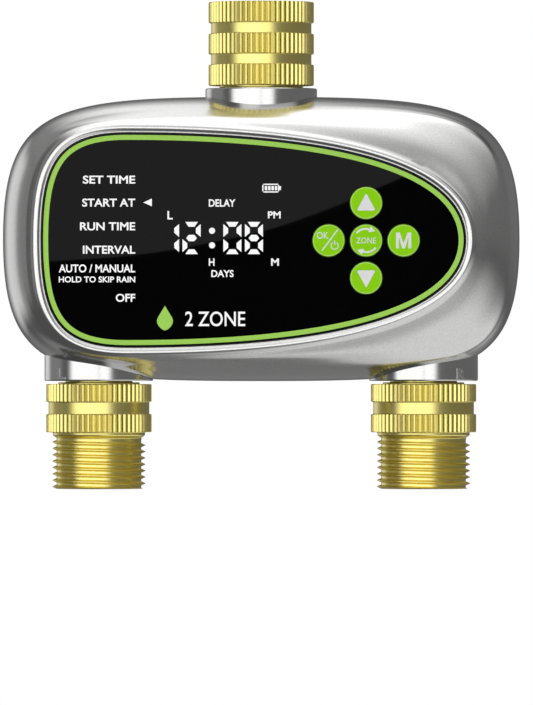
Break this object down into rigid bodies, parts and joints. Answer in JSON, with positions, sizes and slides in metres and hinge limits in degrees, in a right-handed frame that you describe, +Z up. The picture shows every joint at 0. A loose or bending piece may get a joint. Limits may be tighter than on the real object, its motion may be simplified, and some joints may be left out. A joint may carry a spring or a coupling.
{
  "type": "drip irrigation timer",
  "caption": "Hose timer that hangs from a tap by a swivel nut and feeds two threaded outlets, with a teardrop key panel, display and rear battery door.",
  "frame": {"origin": "on the inlet axis, in the top face of the inlet nut, where the tap's spout goes in", "axes": "+Z up along the inlet axis, towards the tap; the front panel faces -Y; +X to the right as seen from the front"},
  "size_m": [0.1472, 0.0575, 0.1386],
  "materials": {
    "silver_shell": "satin silver paint with a fine metallic fleck",
    "brass": "turned and knurled, lightly polished",
    "panel_black": "glossy back-printed panel",
    "key_green": "satin lime green",
    "trim_green": "printed lime green line",
    "print_white": "printed white",
    "print_grey": "printed light grey",
    "black_rubber": "matt",
    "screw_steel": "zinc plated",
    "switch_metal": "stamped cover",
    "contact_nickel": "nickel plated",
    "mesh_steel": "woven stainless wire",
    "display_glass": "dark display glass",
    "board_green": "solder mask",
    "cell_jacket": "printed sleeve with a steel end",
    "valve_nylon": "moulded",
    "coil_winding": "taped copper winding",
    "lead_pvc": "insulated wire"
  },
  "bodies": {
    "housing": {"front_cover": "silver_shell", "rear_cover": "silver_shell", "housing_screw_top_left": "screw_steel", "housing_screw_top_right": "screw_steel", "housing_screw_bottom_left": "screw_steel", "housing_screw_bottom_right": "screw_steel", "board_screw_left": "screw_steel", "board_screw_right": "screw_steel", "battery_door_pin": "screw_steel", "panel_lens": "panel_black", "panel_seal": "black_rubber", "keypad_mat": "black_rubber", "inlet_oring": "black_rubber", "filter_washer": "black_rubber", "diaphragm_left": "black_rubber", "diaphragm_right": "black_rubber", "switch_up": "switch_metal", "switch_down": "switch_metal", "switch_ok": "switch_metal", "switch_zone": "switch_metal", "switch_manual": "switch_metal", "display_module": "display_glass", "control_board": "board_green", "battery_1": "cell_jacket", "battery_2": "cell_jacket", "battery_3": "cell_jacket", "battery_4": "cell_jacket", "contact_positive": "contact_nickel", "contact_negative": "contact_nickel", "contact_link_top": "contact_nickel", "contact_link_bottom_left": "contact_nickel", "contact_link_bottom_right": "contact_nickel", "plunger_spring_left": "contact_nickel", "plunger_spring_right": "contact_nickel", "inlet_tailpiece": "brass", "outlet_adapter_left": "brass", "outlet_adapter_right": "brass", "filter_mesh": "mesh_steel", "manifold": "valve_nylon", "bonnet_left": "valve_nylon", "bonnet_right": "valve_nylon", "solenoid_coil_left": "coil_winding", "solenoid_coil_right": "coil_winding", "solenoid_lead_left": "lead_pvc", "solenoid_lead_right": "lead_pvc", "battery_lead": "lead_pvc"},
    "key_up": {"button_up": "key_green"},
    "key_down": {"button_down": "key_green"},
    "key_ok": {"button_ok": "key_green"},
    "key_zone": {"button_zone": "key_green"},
    "key_manual": {"button_manual": "key_green"},
    "swivel_nut": {"inlet_nut": "brass"},
    "door": {"battery_door": "silver_shell", "battery_door_gasket": "black_rubber"},
    "door_screw": {"battery_door_screw": "screw_steel"},
    "left_plunger": {"plunger_left": "mesh_steel"},
    "left_poppet": {"poppet_left": "valve_nylon"},
    "right_plunger": {"plunger_right": "mesh_steel"},
    "right_poppet": {"poppet_right": "valve_nylon"}
  },
  "joints": [
    {"name": "inlet_nut_turn", "type": "hinge", "parent": "housing", "child": "swivel_nut", "pos_m": [0, 0, -0.012], "axis": [0, 0, 1], "continuous": true},
    {"name": "button_up_press", "type": "slide", "parent": "housing", "child": "key_up", "axis": [0, 1, 0], "range_m": [0, 0.0008], "stiffness_N_per_m": 1500},
    {"name": "button_down_press", "type": "slide", "parent": "housing", "child": "key_down", "axis": [0, 1, 0], "range_m": [0, 0.0008], "stiffness_N_per_m": 1500},
    {"name": "button_ok_press", "type": "slide", "parent": "housing", "child": "key_ok", "axis": [0, 1, 0], "range_m": [0, 0.0008], "stiffness_N_per_m": 1500},
    {"name": "button_zone_press", "type": "slide", "parent": "housing", "child": "key_zone", "axis": [0, 1, 0], "range_m": [0, 0.0008], "stiffness_N_per_m": 1500},
    {"name": "button_manual_press", "type": "slide", "parent": "housing", "child": "key_manual", "axis": [0, 1, 0], "range_m": [0, 0.0008], "stiffness_N_per_m": 1500},
    {"name": "battery_door_swing", "type": "hinge", "parent": "housing", "child": "door", "pos_m": [0, 0.0293, -0.0356], "axis": [1, 0, 0], "range_deg": [0, 110]},
    {"name": "battery_door_screw_turn", "type": "hinge", "parent": "door", "child": "door_screw", "pos_m": [0, 0.031, -0.0964], "axis": [0, 1, 0], "continuous": true},
    {"name": "plunger_left_lift", "type": "slide", "parent": "housing", "child": "left_plunger", "axis": [0, 0, 1], "range_m": [0, 0.003], "stiffness_N_per_m": 300, "deforming": ["plunger_spring_left"]},
    {"name": "poppet_left_lift", "type": "slide", "parent": "housing", "child": "left_poppet", "axis": [0, 0, 1], "range_m": [0, 0.0025], "deforming": ["diaphragm_left"]},
    {"name": "plunger_right_lift", "type": "slide", "parent": "housing", "child": "right_plunger", "axis": [0, 0, 1], "range_m": [0, 0.003], "stiffness_N_per_m": 300, "deforming": ["plunger_spring_right"]},
    {"name": "poppet_right_lift", "type": "slide", "parent": "housing", "child": "right_poppet", "axis": [0, 0, 1], "range_m": [0, 0.0025], "deforming": ["diaphragm_right"]}
  ],
  "couplings": [
    {"joint": "poppet_left_lift", "follows": "plunger_left_lift", "ratio": 0.8333},
    {"joint": "poppet_right_lift", "follows": "plunger_right_lift", "ratio": 0.8333}
  ]
}
